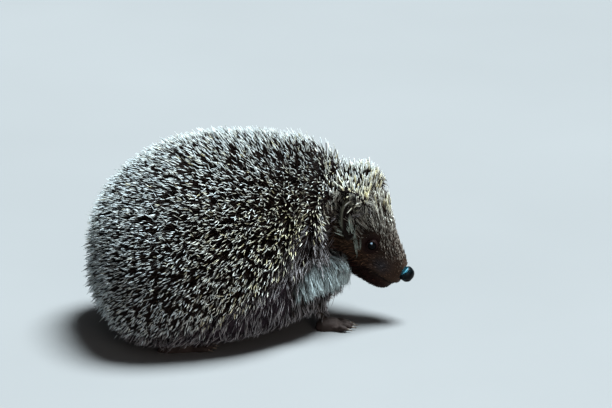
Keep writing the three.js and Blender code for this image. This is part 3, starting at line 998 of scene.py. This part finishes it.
def grow_spines():
    """Every spine of the mantle and crown, in pieces by region."""
    above = smooth(over_edge(skin_points), 3, 8)
    rooted = np.maximum(smooth(spiny, 0.25, 0.45) * above, forehead)
    read = scatter(rooted, SPINE_SPACING, 11)
    random = np.random.default_rng(12)
    root = read(skin_points)
    normal = unit(read(skin_normals))
    depth = read(known["depth"])
    crown = np.clip(read(known["crown"]), 0, 1)
    low_brow = smooth(read(forehead), 0.3, 0.7)
    count = len(root)
    x, y, z = root.T
    down = -normal[:, 2]
    leans = spine_lean(root, normal)
    flow, aim = laid(random, body_guide(root, normal), normal, 0.40, leans, 10.0)
    # the crown's spines stand up, and droop outwards round its edge
    droop = random.random(count) * smooth(down, -0.55, -0.1)
    droop *= smooth(-normal @ HEAD[0], -0.55, -0.15)
    outward = 0.1 + 0.45 * smooth(normal[:, 2], 0.1, 0.6) + 0.6 * droop
    upright = np.array([-0.12, 0, 0.85]) + random.normal(0, 0.15, (count, 3))
    upright[:, 2] -= droop
    upright = unit(upright + normal * outward[:, None])
    aim = unit(mixed(aim, upright, smooth(crown, 0.25, 0.75)))
    # the forehead's are swept back over it
    swept = along_surface(face_guide(root, normal), normal) + random.normal(0, 0.15, (count, 3))
    aim = unit(mixed(aim, unit(swept + normal * 0.75), low_brow))
    start = root - aim * 0.8
    rise = np.clip(np.sum(aim * normal, axis=1), 0.45, 1.0)
    rays = zip(root.tolist(), aim.tolist())
    hits = [tip_surface.ray_cast(Vector(at), Vector(way), SPINE_REACH) for at, way in rays]
    far = np.array([SPINE_REACH / 3 if hit[0] is None else hit[3] for hit in hits])
    whole = np.minimum(far, 1.25 * depth / rise)
    whole += random.normal(SPINE_OVER, SPINE_UNEVEN, count)
    length = np.clip(whole, 6.0 + 3.5 * low_brow, np.where(crown > 0.4, 15.0, 21.5))
    sag = unit(aim + flow * random.normal(0.06, 0.05, count)[:, None])
    bend = start + aim * length[:, None] * 0.5
    end = bend + sag * length[:, None] * 0.5
    end = held_inside(end, SPINE_OVER + np.abs(random.normal(0, SPINE_UNEVEN, count)))
    end[:, 2] = np.maximum(end[:, 2], 1.5)
    width = SPINE_WIDE * random.normal(1.0, 0.09, count)
    width *= 1 + 0.5 * np.maximum(crown, 0.7 * low_brow)
    kept = random.random(count) > 0.5 * np.maximum(crown > 0.4, 0.6 * low_brow)
    rump = smooth(-x, 25, 70)
    nape = smooth(normal[:, 0], 0.3, 0.7) * smooth(z, 70, 86)
    brow_rows = np.maximum(crown * smooth(in_head(root)[:, 0], 9, 17), low_brow)
    sallow = bell(x, 22, 18) * bell(z, 74, 13)
    # warmth: real yellowish spines on the crown, its brow rows and the lower front; warmer on the
    # sides and underside and cooler on the rump is a painted tint of where the cool light from above
    # falls
    warm = 0.26 - 0.2 * rump + 0.15 * crown + 0.35 * brow_rows + 0.35 * sallow
    warm += 0.28 * smooth(down, -0.85, -0.3) * (1 - rump)
    warm += random.normal(0, 0.16, count) + 0.5 * (random.random(count) < 0.05)
    tone = random.random(count) + 0.25 * np.maximum(crown, low_brow)
    # painted light and shade in the tone: lighter low down and at the nape, where shade falls, and
    # darker on the side-facing flanks and on the rump
    flank = smooth(down, -0.95, -0.5) * (1 - rump) * (1 - crown) * bell(z, 84, 17)
    tone += 0.3 * smooth(-z, -56, -38) + 0.3 * nape - 0.42 * flank - 0.22 * rump
    # the rump's white tips shorter and the nape's longer: more of the same painted shade and light
    long = length / SPINE_WHOLE * (1 + 0.3 * rump - 0.2 * nape)
    spots = unwrapped(root)
    on_crown = (crown >= 0.5) | (low_brow > 0.1)
    behind = ~on_crown & (x < RUMP_SPINES)
    before = ~on_crown & (x >= RUMP_SPINES)
    parts = {
        "spines_crown": on_crown,
        "spines_rump_right": behind & (y < 0),
        "spines_rump_left": behind & (y >= 0),
        "spines_right": before & (y < 0),
        "spines_left": before & (y >= 0),
    }
    horn = spine_material()
    for name, here in parts.items():
        here = here & kept
        values = {
            "tone": np.clip(tone[here], 0, 1),
            "warm": np.clip(warm[here], 0, 1),
            "shift": random.normal(0, 1, here.sum()),
            "long": long[here],
        }
        strands = [rows[here] for rows in (start, bend, end, width)]
        made = strand_mesh(name, *strands, SPINE_PROFILE, SPINE_SIDES, values, spots[here])
        made.data.materials.append(horn)


grow_spines()

# ---- fur


def grow_fur(
    name, seed, weight, lock, lie, hair, finish, slot,
    head=False, hang=0.0, loose=0.25, over=1.0, tint=None,
):
    """Locks of hair where weight is above zero.

    lock is their spacing, the hairs in each and how far these spread. lie is their length, lean
    and guide. hair is a hair's width and rings. hang bends the outer half down, loose turns the
    locks at random, and no tip stands much more than over outside the coat's outline.
    """
    spacing, hairs, spread = lock
    read = scatter(weight, spacing, seed)
    random = np.random.default_rng(seed + 1)
    root = read(skin_points)
    normal = unit(read(skin_normals))
    region = {kind: read(known[kind]) for kind in known}
    count = len(root)
    length, leans, guides = (value(root, normal) if callable(value) else value for value in lie)
    flow, aim = laid(random, guides, normal, loose, leans, 6)
    long = length * random.normal(1.0, 0.14, count)
    outer = unit(aim + flow * 0.25 + np.array([0, 0, -1.0]) * hang)
    colour = np.tile(tint, (count, 1)) if tint else markings(root, region)
    share = pale_share(root, region)
    lock_tone = random.random(count)
    pick = np.repeat(np.arange(count), hairs)
    total = len(pick)
    angle = random.random(total) * 2 * math.pi
    far = np.sqrt(random.random(total)) * spread
    offset = flow[pick] * (np.cos(angle) * far)[:, None]
    offset += np.cross(normal, flow)[pick] * (np.sin(angle) * far)[:, None]
    reach = long[pick] * random.normal(1.0, 0.10, total)
    stray = random.normal(0, 0.08, (total, 3))
    start = root[pick] + offset - normal[pick] * 0.5
    half = (reach * 0.5)[:, None]
    bend = start + unit(aim[pick] + stray) * half
    tip = root[pick] + aim[pick] * half
    tip += outer[pick] * half + offset * (1 - PULL)
    tip += stray * (reach * 0.8)[:, None]
    tip = held_inside(tip, np.abs(random.normal(0, over, total)))
    tip[:, 2] = np.maximum(tip[:, 2], 0.4)
    bend[:, 2] = np.maximum(bend[:, 2], 0.5)
    pale = random.random(total) < (share[pick] * 0.6 + (lock_tone[pick] < share[pick]) * 0.4)
    light = np.tile(SKIRT_HAIR, (count, 1))
    if head:
        ahead, _, up = in_head(root).T
        bridge = mixed(PALE_HAIR, BRIDGE_HAIR, smooth(ahead, 28, 42))
        light = mixed(np.minimum(colour * 5.0, 1.0), bridge, smooth(up, -3, 5))
    dark = colour.mean(axis=1) <= 0.2
    hair_colour = np.where((pale & dark[pick])[:, None], light[pick], colour[pick])
    tone = np.clip(lock_tone[pick] * 0.6 + random.random(total) * 0.4, 0, 1)
    width = hair[0] * random.normal(1.0, 0.12, total) * (1 + 0.35 * pale)
    values = {"coat": hair_colour, "tone": tone}
    spots = unwrapped(root[pick], head)
    made = strand_mesh(name, start, bend, tip, width, hair[1], HAIR_SIDES, values, spots)
    made.data.materials.append(finish)


def face_length(root, normal):
    """Short on the muzzle, longest on the forehead and behind the cheek."""
    ahead = in_head(root)[:, 0]
    long = 1.1 + 3.6 * smooth(-ahead, -60, -36) + 2.6 * smooth(-ahead, -28, -12)
    return long * (0.35 + 0.65 * smooth(eye_distance(root), 4, 11))


def brow_length(root, normal):
    """The coarse hair of the forehead: longer towards the crown."""
    return 4.6 + 7.2 * smooth(-in_head(root)[:, 0], -52, -22)


def brow_lean(root, normal):
    """Flattest along the bridge of the nose."""
    return 54 + 24 * smooth(in_head(root)[:, 0], 17, 34)


def breast_length(root, normal):
    """Long white hair, shorter where it is rooted low."""
    return 15 - 7 * smooth(-root[:, 2], -WHITE_FOOT - 6, -WHITE_FOOT)


def near_ear(x, side, z, reach):
    """1 at that place of the head beside the ears, and 0 beyond its reach."""
    gaps = np.column_stack([skin_ahead - x, skin_aside - side, skin_up - z])
    far = np.linalg.norm(gaps, axis=1)
    return smooth(-far, -reach, -reach * 0.5) * (known["lid"] < 0.5) * (face > 0.5)


dark_fur = fur_material("dark_fur", 0.4, 1.5, 0.2), "dark_fur"
pale_fur = fur_material("pale_fur", 0.3, 1.2, 0.3), "pale_fur"
from_eye = eye_distance(skin_points)
bare = smooth(from_eye, 3.4, 4.6) * smooth(away_from(skin_points, "nose"), 5.0, 6.5)
downward = -skin_normals[:, 2]
# the brim of the crown, which the upright spines leave bare
brim = known["crown"] * smooth(downward, -0.45, -0.1)
beside = smooth(skin_aside, 9, 13)
temple = smooth(known["crown"], 0.1, 0.3) * smooth(downward, -0.8, -0.5) * beside
brow = smooth(skin_up, 1.5, 7.0) * (1 - 0.75 * forehead) * smooth(-skin_ahead, -60, -54)
brow = smooth(face + brim * (1 - beside), 0.15, 0.35) * (brow * smooth(from_eye, 7.0, 10.0))
white = white_breast(skin_points)
under = known["belly"] + known["hindquarters"] + known["breast"] * (1 - white)
edge = smooth(spiny, 0.12, 0.45) * smooth(-spiny, -0.98, -0.7)
edge *= smooth(-face, -0.35, -0.1) * smooth(-skin_points[:, 2], -75, -40)
fringe = smooth(spiny, 0.3, 0.6) * smooth(-over_edge(skin_points), -9, -4)
grow_fur(
    "fur_face", 21, smooth(face, 0.2, 0.4) * bare,
    (1.1, 4, 0.8), (face_length, 68, face_guide), (0.27, SHORT_HAIR), *dark_fur, head=True,
)
grow_fur(
    "fur_temple", 27, temple,
    (1.2, 3, 0.7), (7.0, 58, (-0.15, 0, -1)), (0.33, FINE_HAIR), *dark_fur, head=True, over=0.7,
)
grow_fur(
    "fur_brow", 25, brow, (1.2, 3, 0.7), (brow_length, brow_lean, face_guide),
    (0.33, FINE_HAIR), *dark_fur, head=True, loose=0.16, over=0.7,
)
grow_fur(
    "fur_breast", 31, smooth(known["breast"], 0.35, 0.6) * white, (2.1, 7, 1.3),
    (breast_length, 46, (-0.2, 0, -1)), (0.36, LONG_HAIR), *pale_fur, hang=0.9, over=2.5,
)
grow_fur(
    "fur_belly", 41, smooth(under, 0.35, 0.6),
    (2.6, 5, 1.6), (9, 58, flank_guide), (0.32, BELLY_HAIR), *dark_fur, hang=0.3,
)
grow_fur(
    "fur_legs", 51, smooth(known["leg"] + known["tail"], 0.35, 0.6),
    (1.7, 4, 1.1), (4.0, 62, (-0.25, 0, -1)), (0.26, SHORT_HAIR), *dark_fur,
)
# the pale brush that fills the front of each ear, and the wisps that hang below it
grow_fur(
    "fur_ear_tufts", 71, near_ear(21.6, 18.5, -1.0, 2.8), (0.9, 9, 0.8),
    (11.5, 58, -0.85 * HEAD[0] + 0.55 * HEAD[2]), (0.27, FINE_HAIR), *pale_fur,
    head=True, loose=0.12, over=1.5, tint=TUFT_GREY,
)
grow_fur(
    "fur_ear_wisps", 75, near_ear(21.6, 17.5, 3.0, 2.2), (1.5, 2, 0.8),
    (12.5, 77, 0.60 * HEAD[0] - 0.57 * HEAD[2]), (0.27, FINE_HAIR), *pale_fur,
    head=True, loose=0.12, over=1.5, tint=TUFT_GREY,
)
grow_fur(
    "fur_ears", 81, known["ear"], (1.5, 3, 0.5),
    (1.5, 58, -0.9 * HEAD[0] + 0.5 * HEAD[2]), (0.16, SHORT_HAIR), dark_fur[0], "bare_skin",
    head=True,
)
grow_fur(
    "fur_skirt", 61, np.maximum(edge, fringe),
    (1.9, 6, 1.6), (13, 50, fringe_guide), (0.24, FINE_HAIR), *dark_fur, hang=0.7,
)

# ---- the skin itself, the nose, the eyes and the claws

skin = mesh_from("skin", skin_points, skin_faces)
skin.data.shade_smooth()
# the skin darker than the coat's colour, most of all under the white breast: painted shade in the
# gaps between the hairs and spines
skin_gap_shade = 0.6 - 0.4 * smooth(known["breast"], 0.3, 0.7)
put(skin.data, "coat", markings(skin_points, known) * skin_gap_shade[:, None])
skin.data.materials.append(skin_material())
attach(skin, "root")
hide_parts(*FLESH, *EARS)


def grow_nose():
    """The bare nose: a round pad with a groove down its middle and two curled nostrils."""
    across, along = NOSE_POINTS
    polar = np.linspace(0, math.pi, along)[:, None]
    turn = np.arange(across) * 2 * math.pi / across
    ways = [np.cos(polar) * np.ones(across), np.sin(polar) * np.cos(turn)]
    ways = np.stack([*ways, np.sin(polar) * np.sin(turn)], axis=-1).reshape(-1, 3)
    x, y, z = ways.T
    front = smooth(x, 0.0, 0.5)
    swell = 1 - 0.07 * bell(y, 0, 0.085) * front * smooth(-z, -0.75, -0.2)
    for way in (-1, 1):
        for aim, rise, centre, wide in NOSTRIL:
            aim = unit(np.array(aim) * (1, way, 1))
            far = np.degrees(np.arccos(np.clip(ways @ aim, -1, 1)))
            swell += rise * bell(far, centre, wide)
    swell -= 0.16 * smooth(-x, 0.25, 0.7)
    swell += 0.04 * bell(z, 0.75, 0.25) * front
    reach = np.array([1.0, 1.0, 0.94]) * radius_of("nose")
    points = middle("nose") + (ways * reach * swell[:, None]) @ HEAD
    made = mesh_from("nose_pad", points, quads(along, across))
    whole = bmesh.new()
    whole.from_mesh(made.data)
    bmesh.ops.remove_doubles(whole, verts=whole.verts, dist=1e-6)
    bmesh.ops.recalc_face_normals(whole, faces=whole.faces)
    whole.to_mesh(made.data)
    whole.free()
    made.data.shade_smooth()
    finish = wet_material("nose_skin", NOSE_BLACKS, 900.0, 0.20, 0.0001, 0.1, (1.0, 0.9, 0.92))
    made.data.materials.append(finish)
    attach(made, "root")
    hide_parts("nose")


grow_nose()

# eyes and claws keep their CAD shape, rounded, with materials of their own
eye = wet_material("eye", EYE_BLACKS, 500.0, 0.10, 0, 0.05, (0.8, 0.92, 1.0))
claw = claw_material()
for name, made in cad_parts.items():
    if not name.startswith(("eye_", "claw_")):
        continue
    weld = made.modifiers.new("weld", "WELD")
    weld.merge_threshold = 1e-6
    rounder = made.modifiers.new("rounder", "SUBSURF")
    rounder.levels = 2 if name.startswith("eye_") else 1
    rounder.render_levels = rounder.levels
    made.data.shade_smooth()
    made.data.materials.clear()
    made.data.materials.append(eye if name.startswith("eye_") else claw)

# ---- the floor, the camera and the light

corners = ((-FLOOR_HALF, -FLOOR_HALF), (FLOOR_HALF, -FLOOR_HALF))
corners += ((FLOOR_HALF, FLOOR_HALF), (-FLOOR_HALF, FLOOR_HALF))
floor = mesh_from("floor", [(x, y, 0) for x, y in corners], [(0, 1, 2, 3)])
paper, tree = material("floor")
tones = ramp(tree, noise(tree, 3.0), FLOOR_TONES)
floor.data.materials.append(painted(paper, {"Base Color": tones, "Roughness": 0.9}))


def add_camera():
    """The camera at the view's angle, far off with a long lens."""
    azimuth = math.radians(VIEW_AZIMUTH)
    elevation = math.radians(VIEW_ELEVATION)
    level = math.cos(elevation)
    back = Vector((math.sin(azimuth) * level, -math.cos(azimuth) * level, math.sin(elevation)))
    data = bpy.data.cameras.new("camera")
    data.lens = VIEW_LENS
    data.sensor_width = VIEW_SENSOR
    data.clip_end = VIEW_END
    camera = placed("camera", data)
    distance = VIEW_WIDTH * VIEW_LENS / VIEW_SENSOR
    camera.location = (Vector(VIEW_CENTRE) + back * distance) * MM
    aimed(camera, -back)
    bpy.context.scene.camera = camera


add_camera()

sun = bpy.data.lights.new("overhead", "SUN")
sun.angle = math.radians(SUN_ANGLE)
sun.energy = SUN_STRENGTH
sun.color = SUN_COLOUR
aimed(placed("overhead", sun), SUN_AIM)
for name, at, size, power, colour, only in SOFTBOXES:
    data = bpy.data.lights.new(name, "AREA")
    data.shape = "SQUARE"
    data.size = size
    data.energy = power
    data.color = colour
    light = placed(name, data)
    light.location = at
    aimed(light, Vector(SOFTBOX_AIM) - Vector(at))
    if only:
        lit = bpy.data.collections.new(name)
        for piece in only:
            lit.objects.link(bpy.data.objects[piece])
        light.light_linking.receiver_collection = lit
        light.light_linking.blocker_collection = lit
world = bpy.data.worlds.new("world")
world.use_nodes = True
background = world.node_tree.nodes["Background"]
background.inputs[0].default_value = WORLD_COLOUR
background.inputs[1].default_value = WORLD_STRENGTH
bpy.context.scene.world = world
bpy.context.scene.view_settings.view_transform = "Standard"
